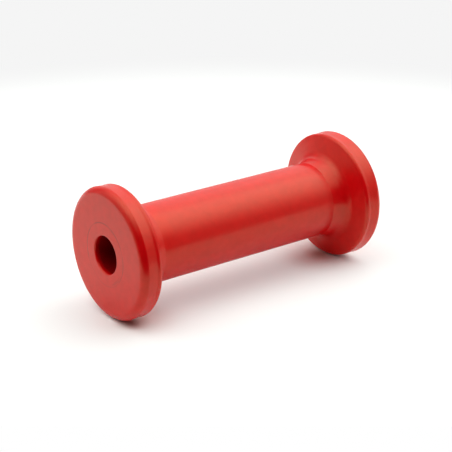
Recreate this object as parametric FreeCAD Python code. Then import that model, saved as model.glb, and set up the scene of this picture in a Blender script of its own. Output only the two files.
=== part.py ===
import FreeCAD, Part
import math
import os

# Keel roller for a boat trailer: one solid polyurethane moulding, the same at both ends.
# It stands on one end. +Z is the spindle axis, and the origin is the centre of the lower end face.
# All sizes are millimetres, and all slopes are degrees.

# Overall sizes. The flange is measured where the round of its end face meets the rim
length = 200.0
flange_diameter = 89.0
barrel_diameter = 52.5
bore_diameter = 25.5

# Rim of each flange, from its end face inwards: a slight taper to a shallow waist, then a rise to a bead
waist_height = 11.0
bead_run = 3.4
waist_depth = 0.5
bead_proud = 0.25

# Flare: the back of the flange is a shallow cone, which turns into a steep cone down to the barrel
flare_length = 14.8
back_slope = 14.0
foot_slope = 12.0

# Edges
face_round = 4.5
waist_round = 6.0
bead_round = 2.5
flare_round = 8.0
mouth_chamfer = 0.6

# The rounds of the waist and the bead are narrow, so they are made of cones, within 0.07 mm of the round
waist_cones = 1
bead_cones = 4

# A round takes up at most these shares of the edges that meet at its corner
share_of_rounded_edge = 0.95
share_of_next_edge = 0.5

flange_radius = flange_diameter / 2
barrel_radius = barrel_diameter / 2
bore_radius = bore_diameter / 2
waist_radius = flange_radius - waist_depth
bead_radius = flange_radius + bead_proud
bead_height = waist_height + bead_run
foot_height = bead_height + flare_length
section_plane = Part.Plane(FreeCAD.Vector(0, 0, 0), FreeCAD.Vector(0, 1, 0))


def section_point(radius, height):
    """A point of the half section, which lies in the XZ plane."""
    return FreeCAD.Vector(radius, 0, height)


def rim_corner_radius():
    """Where the rim's taper would meet the end face, if the edge there were sharp."""
    taper = waist_depth / (waist_height - face_round)
    return flange_radius + taper * face_round


def flare_corner():
    """Where the back of the flange would meet the steep cone that runs down to the barrel."""
    back = math.tan(math.radians(back_slope))
    foot = math.tan(math.radians(foot_slope))
    reach = foot_height - bead_height - back * bead_radius
    radius = (barrel_radius + foot * reach) / (1 - back * foot)
    return section_point(radius, bead_height + back * (bead_radius - radius))


def rounded(first, second, radius):
    """Two edges that meet at a corner, shortened, with a tangent arc of this radius between them.

    The first has a round at its other end already. The second gets its other one later.
    """
    corner = first.lastVertex(True).Point
    turn = first.tangentAt(first.LastParameter).getAngle(second.tangentAt(second.FirstParameter))
    room = min(first.Length * share_of_rounded_edge, second.Length * share_of_next_edge)
    fillet = Part.ChFi2d.FilletAlgo()
    fillet.init(first, second, section_plane)
    fillet.perform(min(radius, room / math.tan(turn / 2)))
    arc, first_left, second_left = fillet.result(corner)
    return first_left, arc, second_left


def narrow_cones(arc, count):
    """Short straight edges along an arc, each of which turns into a narrow cone."""
    points = arc.discretize(count + 1)
    return [Part.makeLine(start, end) for start, end in zip(points, points[1:])]


def lower_end_edges():
    """The lower end's half section, from inside the bore out to the barrel at mid length."""
    bore_middle = section_point(bore_radius, length / 2)
    bore_end = section_point(bore_radius, mouth_chamfer)
    mouth = section_point(bore_radius + mouth_chamfer, 0)
    rim_corner = section_point(rim_corner_radius(), 0)
    waist = section_point(waist_radius, waist_height)
    bead = section_point(bead_radius, bead_height)
    flare_turn = flare_corner()
    flare_foot = section_point(barrel_radius, foot_height)
    barrel_middle = section_point(barrel_radius, length / 2)

    face = Part.makeLine(mouth, rim_corner)
    taper = Part.makeLine(rim_corner, waist)
    rise = Part.makeLine(waist, bead)
    back = Part.makeLine(bead, flare_turn)
    foot = Part.makeLine(flare_turn, flare_foot)

    face, face_arc, taper = rounded(face, taper, face_round)
    taper, waist_arc, rise = rounded(taper, rise, waist_round)
    rise, bead_arc, back = rounded(rise, back, bead_round)
    back, flare_arc, foot = rounded(back, foot, flare_round)

    inside = [Part.makeLine(bore_middle, bore_end), Part.makeLine(bore_end, mouth)]
    rim = [face, face_arc, taper, *narrow_cones(waist_arc, waist_cones)]
    bead_edges = [rise, *narrow_cones(bead_arc, bead_cones)]
    flare = [back, flare_arc, foot, Part.makeLine(flare_foot, barrel_middle)]
    return inside + rim + bead_edges + flare


def make_roller():
    """The half section, mirrored at mid length and turned about the spindle axis."""
    middle = FreeCAD.Vector(0, 0, length / 2)
    along_axis = FreeCAD.Vector(0, 0, 1)
    lower = lower_end_edges()
    upper = [edge.mirror(middle, along_axis) for edge in lower]
    outline = Part.Wire(Part.__sortEdges__(lower + upper))
    turned = Part.Face(outline).revolve(FreeCAD.Vector(0, 0, 0), along_axis, 360)
    return turned.removeSplitter()


roller = make_roller()
print("keel_roller: valid", roller.isValid(), "closed", roller.isClosed(), "solids", len(roller.Solids))
print("faces:", len(roller.Faces), "volume: %.1f cm3" % (roller.Volume / 1000))
print("bead %.1f mm from the end, flare down to %.1f mm" % (bead_height, foot_height))

os.makedirs("parts", exist_ok=True)
roller.exportStep("parts/keel_roller.step")
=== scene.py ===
# %% [markdown]
# # A moulded keel roller
# A keel roller carries the keel of a small boat while the boat is winched onto its trailer.
# This one is a single moulding of red polyurethane: a plain barrel between two flared flanges,
# with a hole right through for a steel spindle.
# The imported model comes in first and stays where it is. Everything below is built around it,
# in metres, with the roller standing on one end and +Z along its spindle axis.

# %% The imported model
import math

import bpy
from mathutils import Matrix, Vector


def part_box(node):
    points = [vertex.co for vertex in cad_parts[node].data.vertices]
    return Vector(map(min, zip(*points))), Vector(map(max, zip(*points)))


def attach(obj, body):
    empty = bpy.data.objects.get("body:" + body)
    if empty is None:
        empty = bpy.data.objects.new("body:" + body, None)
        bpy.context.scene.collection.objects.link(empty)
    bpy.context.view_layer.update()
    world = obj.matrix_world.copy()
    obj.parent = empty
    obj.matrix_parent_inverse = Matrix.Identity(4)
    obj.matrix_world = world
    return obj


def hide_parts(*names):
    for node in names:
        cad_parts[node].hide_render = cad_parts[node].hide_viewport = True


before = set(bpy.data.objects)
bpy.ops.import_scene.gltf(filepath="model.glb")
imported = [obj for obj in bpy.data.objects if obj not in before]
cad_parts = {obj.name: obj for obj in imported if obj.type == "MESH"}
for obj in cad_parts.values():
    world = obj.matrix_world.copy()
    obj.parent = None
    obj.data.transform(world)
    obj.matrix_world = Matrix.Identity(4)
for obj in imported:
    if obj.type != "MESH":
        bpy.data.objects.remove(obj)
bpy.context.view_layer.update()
node_low, node_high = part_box("keel_roller")
print("nodes:", sorted(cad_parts))
print("node box from", tuple(round(v, 4) for v in node_low), "to", tuple(round(v, 4) for v in node_high))

# %% [markdown]
# ## Directions as the roller lies
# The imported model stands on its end, which is how it rests safely. In the photo it lies on a
# table. Turning the model would take it out of its frame, so only the view is turned: "up" in
# the picture is a direction square to the spindle axis. Marks, stage, light and camera are all
# placed from these directions.

# %% Directions
MM = 0.001
VIEW_TURN = math.radians(52.99)

length = node_high.z - node_low.z
flange_radius = min(node_high.x, node_high.y, -node_low.x, -node_low.y)

AXIS = Vector((0, 0, 1))
UP = Vector((1, -1, 0)).normalized()
SIDE = AXIS.cross(UP)
AWAY = (math.cos(VIEW_TURN) * AXIS - math.sin(VIEW_TURN) * SIDE).normalized()
RIGHT = AWAY.cross(UP)
CENTRE = Vector((0, 0, length / 2))


def toward(azimuth, elevation):
    """A direction from the roller: azimuth is 0 away from the camera and 90 to its right."""
    a, e = math.radians(azimuth), math.radians(elevation)
    return math.cos(e) * (math.cos(a) * AWAY + math.sin(a) * RIGHT) + math.sin(e) * UP


print("length %.1f mm, flange radius %.2f mm" % (length / MM, flange_radius / MM))
print("right in the picture is", tuple(round(v, 3) for v in RIGHT))

# %% [markdown]
# ## Sizes of the turned section
# A roller like this is poured in a turned steel mould, so its whole form is one section swept
# round the spindle axis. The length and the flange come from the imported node. The other sizes
# are the mould's own, in millimetres, and are turned to metres once.
# The rim isn't plain: from its big round it narrows a little to a shallow waist, and then rises
# to a bead at the back of the flange. The back is a shallow cone, which turns into a steep cone
# that flares out of the barrel. At the foot of each flare the barrel is a few tenths of a
# millimetre thinner: a shallow neck, as is left where a moulding shrinks beside a thick part.

# %% Sizes
BORE_RADIUS = 12.75 * MM
BARREL_RADIUS = 26.25 * MM

WAIST_AT = 11.0 * MM
WAIST_DEPTH = 0.5 * MM
BEAD_AT = 14.4 * MM
BEAD_PROUD = 0.25 * MM

BACK_SLOPE = math.radians(14)
FOOT_SLOPE = math.radians(12)
FOOT_AT = 29.2 * MM
NECK_DEPTH = 0.3 * MM
NECK_RUN = 7.0 * MM

MOUTH_ROUND = 1.0 * MM
FACE_ROUND = 5.5 * MM
CREASE_AT = 4.1 * MM
WAIST_ROUND = 6.0 * MM
BEAD_ROUND = 2.5 * MM
FLARE_ROUND = 7.0 * MM
FOOT_ROUND = 2.5 * MM
NECK_ROUND = 100.0 * MM

# %% [markdown]
# ## The section as corners with rounds
# A drawing of such a mould gives the corners where straight runs meet, and a radius for each.
# The same is done here: a list of corners, each of which is later swapped for a tangent arc. A
# spline through measured points would be quicker to write, but its rounds would have no size.
# Two corners are worked out. The two cones of the flare meet where their slopes say. The big
# round of the end face stops a little short of the rim, at a soft crease that catches the light,
# so its corner lies where the end face meets the line the round still follows at the crease.

# %% Corners
def flare_corner():
    """Where the flange's back meets the cone that runs down to the barrel."""
    back, foot = math.tan(BACK_SLOPE), math.tan(FOOT_SLOPE)
    bead = flange_radius + BEAD_PROUD
    radius = (BARREL_RADIUS + foot * (FOOT_AT - BEAD_AT - back * bead)) / (1 - back * foot)
    return radius, BEAD_AT + back * (bead - radius)


def face_corner():
    """Where the end face meets the line that the big round is still turning into at the crease."""
    turned = math.acos(1 - CREASE_AT / FACE_ROUND)
    return flange_radius - CREASE_AT / math.tan(turned), 0


# Radius, height and round of each corner, from the bore's mouth out to the rim and in to the barrel
corners = [
    (BORE_RADIUS, 0, MOUTH_ROUND),
    (*face_corner(), FACE_ROUND),
    (flange_radius, CREASE_AT, 0),
    (flange_radius - WAIST_DEPTH, WAIST_AT, WAIST_ROUND),
    (flange_radius + BEAD_PROUD, BEAD_AT, BEAD_ROUND),
    (*flare_corner(), FLARE_ROUND),
    (BARREL_RADIUS - NECK_DEPTH, FOOT_AT, FOOT_ROUND),
    (BARREL_RADIUS, FOOT_AT + NECK_RUN, NECK_ROUND),
]
for radius, height, rounding in corners:
    print("corner at radius %.2f, height %.2f, round %.1f mm" % (radius / MM, height / MM, rounding / MM))

# %% [markdown]
# ## From corners to points
# A corner's arc touches both its runs, so it starts at radius times the tangent of half the turn
# before the corner. Arcs get one point for every few degrees that they turn. Long runs get points
# in between, so that no face is much longer than it is wide.

# %% Arcs and runs
ARC_STEP = math.radians(6)
RUN_STEP = 3.0 * MM
LEAST_TURN = 0.001


def arc_points(before, corner, after, radius):
    """Points of the arc that rounds a corner, given as 2D vectors of radius and height."""
    arriving = (corner - before).normalized()
    leaving = (after - corner).normalized()
    turn = arriving.angle(leaving)
    if radius == 0 or turn < LEAST_TURN:
        return [corner]
    start = corner - arriving * radius * math.tan(turn / 2)
    side = Vector((-arriving.y, arriving.x))
    if side.dot(leaving) < 0:
        side = -side
    steps = max(3, math.ceil(turn / ARC_STEP))
    points = []
    for i in range(steps + 1):
        angle = turn * i / steps
        points.append(start + radius * (arriving * math.sin(angle) + side * (1 - math.cos(angle))))
    return points


def run_points(start, end, step):
    """Points between two ends of a straight run, without the ends."""
    count = max(1, round((end - start).length / step))
    return [start.lerp(end, i / count) for i in range(1, count)]


# %% [markdown]
# The end face has fine marks round the bore, so its run gets close rings out to where they end.
# Both ends of the roller are alike: the lower end's section is made once and then mirrored. Two
# points that fall on each other would leave a face without width, which shades as a dark line,
# so a point that touches the one before it is skipped.

# %% The closed outline
FINE_STEP = 0.3 * MM
FINE_TO = 24.0 * MM
TOUCHING = 0.01 * MM


def from_end(point):
    """How far a point of the section lies from the nearer end face."""
    return min(point.y, length - point.y)


def face_points(start, end):
    """Points across the end face, with close rings where its marks are."""
    middle = Vector((FINE_TO, 0))
    return run_points(start, middle, FINE_STEP) + [middle] + run_points(middle, end, RUN_STEP)


def end_section():
    """One end's section, from the bore at mid length to the barrel at mid length."""
    bore_middle = Vector((BORE_RADIUS, length / 2))
    barrel_middle = Vector((BARREL_RADIUS, length / 2))
    places = [bore_middle] + [Vector(c[:2]) for c in corners] + [barrel_middle]
    points = [bore_middle]
    for i, (_, _, radius) in enumerate(corners, start=1):
        arc = arc_points(places[i - 1], places[i], places[i + 1], radius)
        across_face = from_end(arc[0]) < TOUCHING
        if across_face:
            points += face_points(points[-1], arc[0])
        else:
            points += run_points(points[-1], arc[0], RUN_STEP)
        points += [p for p in arc if (p - points[-1]).length > TOUCHING]
    return points + run_points(points[-1], barrel_middle, RUN_STEP) + [barrel_middle]


lower = end_section()
upper = [Vector((p.x, length - p.y)) for p in reversed(lower)]
outline = lower + upper[1:-1]
print("points in the closed outline:", len(outline))

# %% [markdown]
# ## Marks on the end face
# The end face isn't quite bare. The core pin that forms the bore leaves a fine witness ring
# round it, a little off centre, and a washer has rubbed a few short arcs beside it. A bump in the
# material could show them, but a mesh taken out of the scene would lose them. So they are real
# cuts, less than a tenth of a millimetre deep, made by moving points of the turned mesh inwards.
# Nothing about them is even: the ring is clear over some degrees and faint over others, and each
# arc runs out softly at its ends.

# %% Cuts
CUT_WIDTH = 0.33 * MM
RING_RADIUS = 21.3 * MM
RING_DEPTH = 0.08 * MM
RING_CENTRE = SIDE * -0.5 * MM + UP * 0.1 * MM

# The ring is clear between these degrees, from up toward the camera's side, and faint elsewhere
RING_CLEAR = [(-105, -60), (-25, 8), (25, 55), (86, 104)]
RING_FAINT = 0.3
RING_END = 14

# Radius, first and last degree, and depth
SCUFFS = [
    (20.3 * MM, 116, 131, 0.03 * MM),
    (19.6 * MM, 133, 157, 0.04 * MM),
    (18.7 * MM, 128, 149, 0.03 * MM),
]
SCUFF_END = 5


def ease(value, low, high):
    """A smooth step from 0 to 1 between two values."""
    share = min(1, max(0, (value - low) / (high - low)))
    return share * share * (3 - 2 * share)


def sector(degree, first, last, end):
    """1 inside a range of degrees, fading to 0 over a few more beyond each end."""
    return ease(degree, first - end, first) * ease(-degree, -last - end, -last)


def cut(off, depth):
    """Depth of a fine round-bottomed cut at a distance from its middle."""
    return depth * math.exp(-((off / CUT_WIDTH) ** 2))


# %% [markdown]
# A place on an end face is a vector square to the axis. Its degree says where it lies round the
# face, and its length how far out.

# %% Ring and rubbed arcs
def degree_of(place):
    """Degrees round the axis, from up toward the camera's side."""
    return math.degrees(math.atan2(place.dot(SIDE), place.dot(UP)))


def ring_depth(place):
    """Depth of the witness ring at a point of an end face."""
    degree = degree_of(place)
    clear = max(sector(degree, first, last, RING_END) for first, last in RING_CLEAR)
    depth = RING_DEPTH * (RING_FAINT + (1 - RING_FAINT) * clear)
    return cut((place - RING_CENTRE).length - RING_RADIUS, depth)


def wear_depth(place):
    """Depth of the rubbed arcs at a point of the lower end face."""
    degree = degree_of(place)
    depth = 0
    for radius, first, last, deepest in SCUFFS:
        depth += cut(place.length - radius, deepest) * sector(degree, first, last, SCUFF_END)
    return depth


print("ring: %.0f mm across, %d rubbed arcs beside it" % (2 * RING_RADIUS / MM, len(SCUFFS)))

# %% [markdown]
# ## Turning the section
# Two values go with each point of the mesh, for the material. One is how deep the point lies in
# a mark, where the colour is darker in proportion to the depth. The other is how far it lies
# inside the bore, where shade is painted into the colour of the wall.

# %% Values at a point
MOUTH_EDGE = BORE_RADIUS + MOUTH_ROUND
# Depths from the end face over which painted shade comes into the bore's wall
BORE_SHADE_RAMP = (1.0 * MM, 4.0 * MM)


def mark_depth(point, place):
    """How deep the marks are at one place round a point of the section."""
    on_face = MOUTH_EDGE < point.x < FINE_TO and from_end(point) < TOUCHING
    if not on_face:
        return 0
    if point.y > length / 2:
        return ring_depth(place)
    return ring_depth(place) + wear_depth(place)


# Share of painted shade in the bore's wall
def bore_shade_share(point):
    """0 at the mouth of the bore and outside it, and 1 from a few millimetres in."""
    if point.x > MOUTH_EDGE:
        return 0
    return ease(from_end(point), *BORE_SHADE_RAMP)


# %% [markdown]
# Blender's Spin or Screw could sweep the outline, but then the points would have to be found
# again to make the cuts. Writing the rings directly keeps each point's radius and angle at
# hand. The number of segments is a multiple of four, so that the mesh reaches the full
# diameter along X and along Y. Faces are shaded smooth, with sharp edges only where two of them
# meet at more than a few degrees, which is at the crease of the rim.

# %% The turned mesh
SEGMENTS = 240
CREASE_ANGLE = math.radians(9)


def ring_of_points(point):
    """One ring of the mesh: its places, how deep each is in a mark, and how far inside the bore."""
    inward = AXIS if point.y < length / 2 else -AXIS
    places, marks = [], []
    for k in range(SEGMENTS):
        angle = 2 * math.pi * k / SEGMENTS
        place = point.x * Vector((math.cos(angle), math.sin(angle), 0))
        depth = mark_depth(point, place)
        places.append(place + AXIS * point.y + inward * depth)
        marks.append(depth / RING_DEPTH)
    return places, marks, [bore_shade_share(point)] * SEGMENTS


def turned_mesh(name, section):
    """A closed body of revolution about Z from a closed section of (radius, height) points."""
    vertices, faces, marks, inside = [], [], [], []
    for i, point in enumerate(section):
        for kept, new in zip((vertices, marks, inside), ring_of_points(point)):
            kept.extend(new)
        ring, next_ring = i * SEGMENTS, (i + 1) % len(section) * SEGMENTS
        for k in range(SEGMENTS):
            m = (k + 1) % SEGMENTS
            faces.append((ring + k, ring + m, next_ring + m, next_ring + k))
    mesh = bpy.data.meshes.new(name)
    mesh.from_pydata(vertices, [], faces)
    for label, values in (("mark", marks), ("inside", inside)):
        mesh.attributes.new(label, "FLOAT", "POINT").data.foreach_set("value", values)
    mesh.validate()
    mesh.update()
    mesh.shade_smooth()
    mesh.set_sharp_from_angle(angle=CREASE_ANGLE)
    return mesh


roller = bpy.data.objects.new("moulded_roller", turned_mesh("moulded_roller", outline))
bpy.context.scene.collection.objects.link(roller)
print("triangles:", 2 * len(roller.data.polygons))

# %% [markdown]
# ## Moulded polyurethane
# Cast polyurethane elastomer is coloured right through, here a deep signal red. The mould gives
# it a satin skin: colours stay full, highlights are soft and slightly warm, and the edge of a
# reflection is still readable. The skin isn't perfect. It has a faint orange peel, slow hollows
# from shrinkage, and patches that are a little drier, so colour, roughness and bump each vary
# with a noise of their own. First come a function for colours and one that adds a node. An input
# of a node goes by its name, or by its number where a node has several of one name.

# %% Nodes and colours
# A Mix node has sockets of the same names for each type of data. These are the ones for colours
MIX_SHARE, MIX_FROM, MIX_TO, MIX_RESULT = 0, 6, 7, 2


def linear(hex_colour):
    """Linear RGBA from an sRGB hex colour such as "#C00010"."""
    channels = [int(hex_colour[i:i + 2], 16) / 255 for i in (1, 3, 5)]
    return (*[c / 12.92 if c <= 0.04045 else ((c + 0.055) / 1.055) ** 2.4 for c in channels], 1)


def add_node(tree, kind, inputs=None, **settings):
    """Adds a node. Each of its inputs gets a plain value or is linked to a node's output."""
    node = tree.nodes.new(kind)
    for name, value in settings.items():
        setattr(node, name, value)
    for key, value in (inputs or {}).items():
        if isinstance(value, bpy.types.NodeSocket):
            tree.links.new(value, node.inputs[key])
        else:
            node.inputs[key].default_value = value
    return node


# %% [markdown]
# Colour varies a little over patches of a few millimetres, and is darker in the marks. Inside
# the bore, shade is painted into the colour. Noise is read from object coordinates, which are
# metres, so its scale is one over the real size of the pattern.

# %% Colour of the skin
MOTTLE_SIZE = 6.0 * MM
DEEP_RED = linear("#D3040C")
FULL_RED = linear("#DC060F")
MOTTLE_EDGES = (0.35, 0.65)
# Painted shade of the bore's wall
BORE_SHADE_RED = linear("#8A0409")
# Darker red in the marks, in proportion to their depth
MARK_RED = linear("#A0040B")


def skin_colour(tree, place):
    """Mottled red, darker in the marks, with painted shade deeper inside the bore."""
    mottle = add_node(
        tree, "ShaderNodeTexNoise", {"Vector": place, "Scale": 1 / MOTTLE_SIZE, "Detail": 3.0}
    )
    red = add_node(tree, "ShaderNodeValToRGB", {"Fac": mottle.outputs["Fac"]})
    for stop, position, tone in zip(red.color_ramp.elements, MOTTLE_EDGES, (DEEP_RED, FULL_RED)):
        stop.position = position
        stop.color = tone
    colour = red.outputs["Color"]
    # Painted shade inside the bore, and a darker red in the marks
    for name, deeper in (("inside", BORE_SHADE_RED), ("mark", MARK_RED)):
        share = add_node(tree, "ShaderNodeAttribute", attribute_name=name).outputs["Fac"]
        mix = add_node(
            tree,
            "ShaderNodeMix",
            {MIX_SHARE: share, MIX_FROM: colour, MIX_TO: deeper},
            data_type="RGBA",
        )
        colour = mix.outputs[MIX_RESULT]
    return colour


# %% [markdown]
# Drier patches scatter a reflection more, so roughness rises a little in them. Orange peel is a
# fine bump of under a millimetre, and shrinkage a broad one of more than a centimetre, which
# bends the long highlight of the barrel slightly.

# %% Roughness and bumps
DRY_PATCH_SIZE = 14.0 * MM
SATIN = {"From Min": 0.3, "From Max": 0.7, "To Min": 0.22, "To Max": 0.27}
PEEL_SIZE = 0.9 * MM
PEEL_BUMP = {"Strength": 0.05, "Distance": 0.05 * MM}
SHRINK_SIZE = 16.0 * MM
SHRINK_BUMP = {"Strength": 0.2, "Distance": 0.4 * MM}


def skin_roughness(tree, place):
    """Satin, a little rougher where the skin is dry."""
    patches = add_node(
        tree, "ShaderNodeTexNoise", {"Vector": place, "Scale": 1 / DRY_PATCH_SIZE, "Detail": 4.0}
    )
    satin = add_node(tree, "ShaderNodeMapRange", {**SATIN, "Value": patches.outputs["Fac"]})
    return satin.outputs["Result"]


def skin_normal(tree, place):
    """Orange peel on top of slow shrinkage hollows."""
    peel = add_node(
        tree, "ShaderNodeTexNoise", {"Vector": place, "Scale": 1 / PEEL_SIZE, "Detail": 2.0}
    )
    shrink = add_node(
        tree, "ShaderNodeTexNoise", {"Vector": place, "Scale": 1 / SHRINK_SIZE, "Detail": 1.0}
    )
    fine = add_node(tree, "ShaderNodeBump", {**PEEL_BUMP, "Height": peel.outputs["Fac"]})
    broad = add_node(
        tree,
        "ShaderNodeBump",
        {**SHRINK_BUMP, "Height": shrink.outputs["Fac"], "Normal": fine.outputs["Normal"]},
    )
    return broad.outputs["Normal"]


# %% [markdown]
# One Principled shader is enough for an opaque elastomer. Its index of refraction is that of
# polyurethane, about 1.5, and the specular tint warms the highlights as the photo's light does.
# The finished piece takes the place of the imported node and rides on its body.

# %% The polyurethane
SATIN_SKIN = {"IOR": 1.5, "Specular Tint": linear("#FFF6C8")}


def moulded_polyurethane():
    """Satin red elastomer: full colour, soft warm highlights, and a skin that isn't quite even."""
    material = bpy.data.materials.new("moulded polyurethane")
    material.use_nodes = True
    tree = material.node_tree
    tree.nodes.clear()
    place = add_node(tree, "ShaderNodeTexCoord").outputs["Object"]
    skin = add_node(
        tree,
        "ShaderNodeBsdfPrincipled",
        {
            **SATIN_SKIN,
            "Base Color": skin_colour(tree, place),
            "Roughness": skin_roughness(tree, place),
            "Normal": skin_normal(tree, place),
        },
    )
    add_node(tree, "ShaderNodeOutputMaterial", {"Surface": skin.outputs["BSDF"]})
    return material


roller.data.materials.append(moulded_polyurethane())
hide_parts("keel_roller")
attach(roller, "root")
skin_nodes = roller.data.materials[0].node_tree.nodes
print("material:", roller.data.materials[0].name, "with", len(skin_nodes), "nodes")

# %% [markdown]
# ## Camera
# The photo was taken from a little under a metre with a long lens: the far flange is only a
# little smaller than the near one. The camera looks down on the table by some 21 degrees. It is
# placed from the point that it aims at, so that distance, height and lens can each be changed
# without losing the roller.

# %% Camera
VIEW_ELEVATION = math.radians(21.496)
VIEW_DISTANCE = 0.93964
AIM = Vector((-0.00079, 0.00234, 0.09589))
LENS = 110.346
SENSOR = 36

back = -AWAY * math.cos(VIEW_ELEVATION) + UP * math.sin(VIEW_ELEVATION)
camera_data = bpy.data.cameras.new("camera")
camera_data.lens = LENS
camera_data.sensor_width = SENSOR
camera = bpy.data.objects.new("camera", camera_data)
turned = Matrix((RIGHT, back.cross(RIGHT), back)).transposed().to_4x4()
camera.matrix_world = Matrix.Translation(AIM + back * VIEW_DISTANCE) @ turned
bpy.context.scene.collection.objects.link(camera)
bpy.context.scene.camera = camera
print("camera at", tuple(round(v, 4) for v in camera.matrix_world.translation))

# %% [markdown]
# ## Pale card
# Table and floor are the same thing, a flat sheet of pale matt card. A sheet is made from its
# centre and how far it reaches along two directions, so that it can lie square to any of them.

# %% Sheets
def sheet(name, centre, one, other, material):
    """A flat sheet from its centre and two pairs of reaches along two directions."""
    (way_a, low_a, high_a), (way_b, low_b, high_b) = one, other
    places = [
        centre + way_a * a + way_b * b
        for a, b in ((low_a, low_b), (high_a, low_b), (high_a, high_b), (low_a, high_b))
    ]
    mesh = bpy.data.meshes.new(name)
    mesh.from_pydata([tuple(p) for p in places], [], [(0, 1, 2, 3)])
    mesh.materials.append(material)
    made = bpy.data.objects.new(name, mesh)
    bpy.context.scene.collection.objects.link(made)
    return made


# %% [markdown]
# The card changes with the distance from a few points: shade is painted deeper where it gathers
# at a contact, and the card fades to an even tone far from the roller, as the photo's background
# does. A painted image could hold that, but two small functions keep it in real distances.

# %% Shares by distance
def distance_share(tree, place, point, near, far, most):
    """A share that rises from 0 to its most between two distances from a point."""
    away = add_node(tree, "ShaderNodeVectorMath", {0: place, 1: point}, operation="DISTANCE")
    rise = add_node(
        tree,
        "ShaderNodeMapRange",
        {"Value": away.outputs["Value"], "From Min": near, "From Max": far, "To Max": most},
        interpolation_type="SMOOTHSTEP",
    )
    return rise.outputs["Result"]


def least_share(tree, place, points, reach, most):
    """The least of the shares that rise with the distance from each of some points."""
    least = distance_share(tree, place, points[0], *reach, most)
    for point in points[1:]:
        share = distance_share(tree, place, point, *reach, most)
        lesser = add_node(tree, "ShaderNodeMath", {0: least, 1: share}, operation="MINIMUM")
        least = lesser.outputs["Value"]
    return least


# %% [markdown]
# The camera sees the card a little lighter than it reflects, because the photo was exposed for a
# white table. Where the shade gathers, a warm grey shade is painted into the card's colour, warm
# since what light is left there has come off the red roller.

# %% Colour of the card
CARD_TONE = linear("#E7E7E7")
SEEN_TONE = linear("#F6F9FA")
# Colour of the shade painted into the card at its contacts
CONTACT_SHADE_TONE = linear("#BEA09B")


def card_colour(tree, place, seen, contacts, deep):
    """The card's pale tone, a little lighter for the camera, with shade painted in near its contacts."""
    pale = add_node(
        tree,
        "ShaderNodeMix",
        {MIX_SHARE: seen, MIX_FROM: CARD_TONE, MIX_TO: SEEN_TONE},
        data_type="RGBA",
    )
    # Painted shade: near each contact the card's colour goes to the contact tone
    free = least_share(tree, place, contacts, deep, 1)
    tone = add_node(
        tree,
        "ShaderNodeMix",
        {MIX_SHARE: free, MIX_FROM: CONTACT_SHADE_TONE, MIX_TO: pale.outputs[MIX_RESULT]},
        data_type="RGBA",
    )
    return tone.outputs[MIX_RESULT]


# %% [markdown]
# A share of plain tone is mixed in for the camera alone, which softens the shadow as light from
# all round the room does, and far from the roller nothing else is left.

# %% Plain tone for the camera
FAR_TONE = linear("#F5F5F5")
FILL = 0.30


def plain_share(tree, place, seen, contacts, filled, centre, faded):
    """How much plain tone the camera sees: some away from the contacts, and all of it far out."""
    fill = least_share(tree, place, contacts, filled, FILL)
    fade = distance_share(tree, place, centre, *faded, 1)
    more = add_node(tree, "ShaderNodeMath", {0: fill, 1: fade}, operation="MAXIMUM")
    share = add_node(
        tree, "ShaderNodeMath", {0: more.outputs["Value"], 1: seen}, operation="MULTIPLY"
    )
    return share.outputs["Value"]


# %% [markdown]
# The card is drawn from its front only, so that a view from behind it still shows the roller.

# %% A card seen from its front
def pale_card(name, centre, contacts, deep, filled, faded):
    """Pale matt card with shade painted in at its contacts, filled away from them and faded far from its
    centre.
    """
    material = bpy.data.materials.new(name)
    material.use_nodes = True
    tree = material.node_tree
    tree.nodes.clear()
    place = add_node(tree, "ShaderNodeTexCoord").outputs["Object"]
    seen = add_node(tree, "ShaderNodeLightPath").outputs["Is Camera Ray"]
    behind = add_node(tree, "ShaderNodeNewGeometry").outputs["Backfacing"]
    tone = card_colour(tree, place, seen, contacts, deep)
    share = plain_share(tree, place, seen, contacts, filled, centre, faded)
    card = add_node(tree, "ShaderNodeBsdfDiffuse", {"Color": tone}).outputs["BSDF"]
    plain = add_node(tree, "ShaderNodeEmission", {"Color": FAR_TONE, "Strength": 1.0}).outputs["Emission"]
    clear = add_node(tree, "ShaderNodeBsdfTransparent").outputs["BSDF"]
    front = add_node(tree, "ShaderNodeMixShader", {0: share, 1: card, 2: plain}).outputs["Shader"]
    either = add_node(tree, "ShaderNodeMixShader", {0: behind, 1: front, 2: clear}).outputs["Shader"]
    add_node(tree, "ShaderNodeOutputMaterial", {"Surface": either})
    return material


# %% [markdown]
# ## Table
# The table touches both rims. It takes the shadow, throws light up onto the underside and shows
# in the satin skin. Painted shade deepens the shadow beside each contact and not under it: to the
# right of the near one, and to the left of the far one, on the camera's side of both.

# %% Table
TABLE_NEAR = 0.20
TABLE_FAR = 1.2
TABLE_SIDE = 0.9
TABLE_DEEP = (0 * MM, 15 * MM)
TABLE_FILL = (8 * MM, 40 * MM)
TABLE_FADE = (0.33, 0.62)

# How far the centre of the painted shade lies to the right of each contact, and away from the camera
NEAR_SHADE = (13 * MM, -8 * MM)
FAR_SHADE = (-11 * MM, -8 * MM)

table_centre = CENTRE - UP * flange_radius
shades = [
    AXIS * height - UP * flange_radius + RIGHT * right + AWAY * away
    for height, (right, away) in ((CREASE_AT, NEAR_SHADE), (length - CREASE_AT, FAR_SHADE))
]
sheet(
    "table",
    table_centre,
    (RIGHT, -TABLE_SIDE, TABLE_SIDE),
    (AWAY, -TABLE_NEAR, TABLE_FAR),
    pale_card("pale table", table_centre, shades, TABLE_DEEP, TABLE_FILL, TABLE_FADE),
)
print("table touches the rims %.1f mm below the spindle axis" % (flange_radius / MM))

# %% [markdown]
# ## Floor
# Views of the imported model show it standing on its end, and there a second card is the floor. It
# is seen by the camera alone: as a real floor it would shade the end face that the photo shows
# lit. Half a millimetre lies between them, so that the two don't flicker.

# %% Floor
FLOOR_HALF = 0.8
FLOOR_GAP = 0.5 * MM
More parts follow.
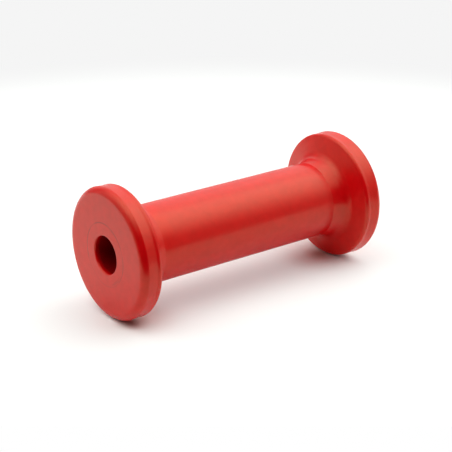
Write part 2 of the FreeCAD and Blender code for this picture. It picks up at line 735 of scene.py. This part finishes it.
# Painted shade round the roller's foot, full within the first distance from the axis and gone by the
# second
FLOOR_DEEP = (38 * MM, 50 * MM)
FLOOR_FILL = (45 * MM, 80 * MM)
FLOOR_FADE = (0.08, 0.17)

floor_centre = Vector((0, 0, -FLOOR_GAP))
floor = sheet(
    "floor",
    floor_centre,
    (Vector((1, 0, 0)), -FLOOR_HALF, FLOOR_HALF),
    (Vector((0, 1, 0)), -FLOOR_HALF, FLOOR_HALF),
    pale_card("pale floor", floor_centre, [floor_centre], FLOOR_DEEP, FLOOR_FILL, FLOOR_FADE),
)
floor.visible_diffuse = False
floor.visible_glossy = False
floor.visible_transmission = False
floor.visible_shadow = False
print("floor %.1f m wide, seen by the camera alone" % (2 * FLOOR_HALF))

# %% [markdown]
# ## Light
# The picture was lit in a light tent: soft patches overhead, to the left and right and behind,
# with no hard edge between them. The camera's side is dark, which is why the rounded edges that
# face it show the plain deep red. Area lamps would show their rectangles in the satin skin, so
# the tent is drawn into the world instead, as round patches that fade to nothing at their edge.
# A brightness is given as it would look in the picture, where 1 is white. Steps of five degrees
# and of a twentieth are as fine as the satin skin can show.

# %% The tent's patches
# Azimuth, elevation and reach in degrees, and brightness
PATCHES = [
    (-5, 50, 25, 0.15),
    (45, 45, 45, 0.90),
    (-45, 20, 45, 0.25),
    (0, 5, 50, 0.35),
    (0, 40, 50, 0.60),
    (-90, 70, 45, 0.80),
    (-90, 50, 40, 0.80),
    (-90, 10, 40, 0.55),
    (90, 70, 45, 1.15),
    (80, 45, 40, 0.90),
    (95, 10, 35, 0.40),
    (-135, 65, 40, 1.00),
]
PATCH_CORE = 0.15
TENT_TINT = linear("#FFFFFA")


def patch_light(tree, ray, azimuth, elevation, reach, brightness):
    """Brightness of one patch along a ray: full in its core and nothing beyond its reach."""
    edge, core = math.cos(math.radians(reach)), math.cos(math.radians(reach * PATCH_CORE))
    middle = toward(azimuth, elevation)
    cosine = add_node(tree, "ShaderNodeVectorMath", {0: ray, 1: middle}, operation="DOT_PRODUCT")
    patch = add_node(
        tree,
        "ShaderNodeMapRange",
        {"Value": cosine.outputs["Value"], "From Min": edge, "From Max": core, "To Max": brightness},
        interpolation_type="SMOOTHSTEP",
    )
    return patch.outputs["Result"]


# %% [markdown]
# The world shader gets the direction of a ray, and the patches along it are added up. The camera
# itself sees plain white behind the table. The Standard view transform shows colours as they are
# written, without a film look.

# %% World
WHITE = linear("#FFFFFF")

world = bpy.data.worlds.new("light tent")
bpy.context.scene.world = world
world.use_nodes = True
sky = world.node_tree
sky.nodes.clear()
ray = add_node(sky, "ShaderNodeTexCoord").outputs["Generated"]
lights = [patch_light(sky, ray, *patch) for patch in PATCHES]
total = lights[0]
for light in lights[1:]:
    total = add_node(sky, "ShaderNodeMath", {0: total, 1: light}, operation="ADD").outputs["Value"]
seen = add_node(sky, "ShaderNodeLightPath").outputs["Is Camera Ray"]
tent = add_node(sky, "ShaderNodeBackground", {"Color": TENT_TINT, "Strength": total})
plain = add_node(sky, "ShaderNodeBackground", {"Color": WHITE, "Strength": 1.0})
either = add_node(
    sky,
    "ShaderNodeMixShader",
    {0: seen, 1: tent.outputs["Background"], 2: plain.outputs["Background"]},
)
add_node(sky, "ShaderNodeOutputWorld", {"Surface": either.outputs["Shader"]})
bpy.context.scene.view_settings.view_transform = "Standard"
print("patches of light:", len(PATCHES))
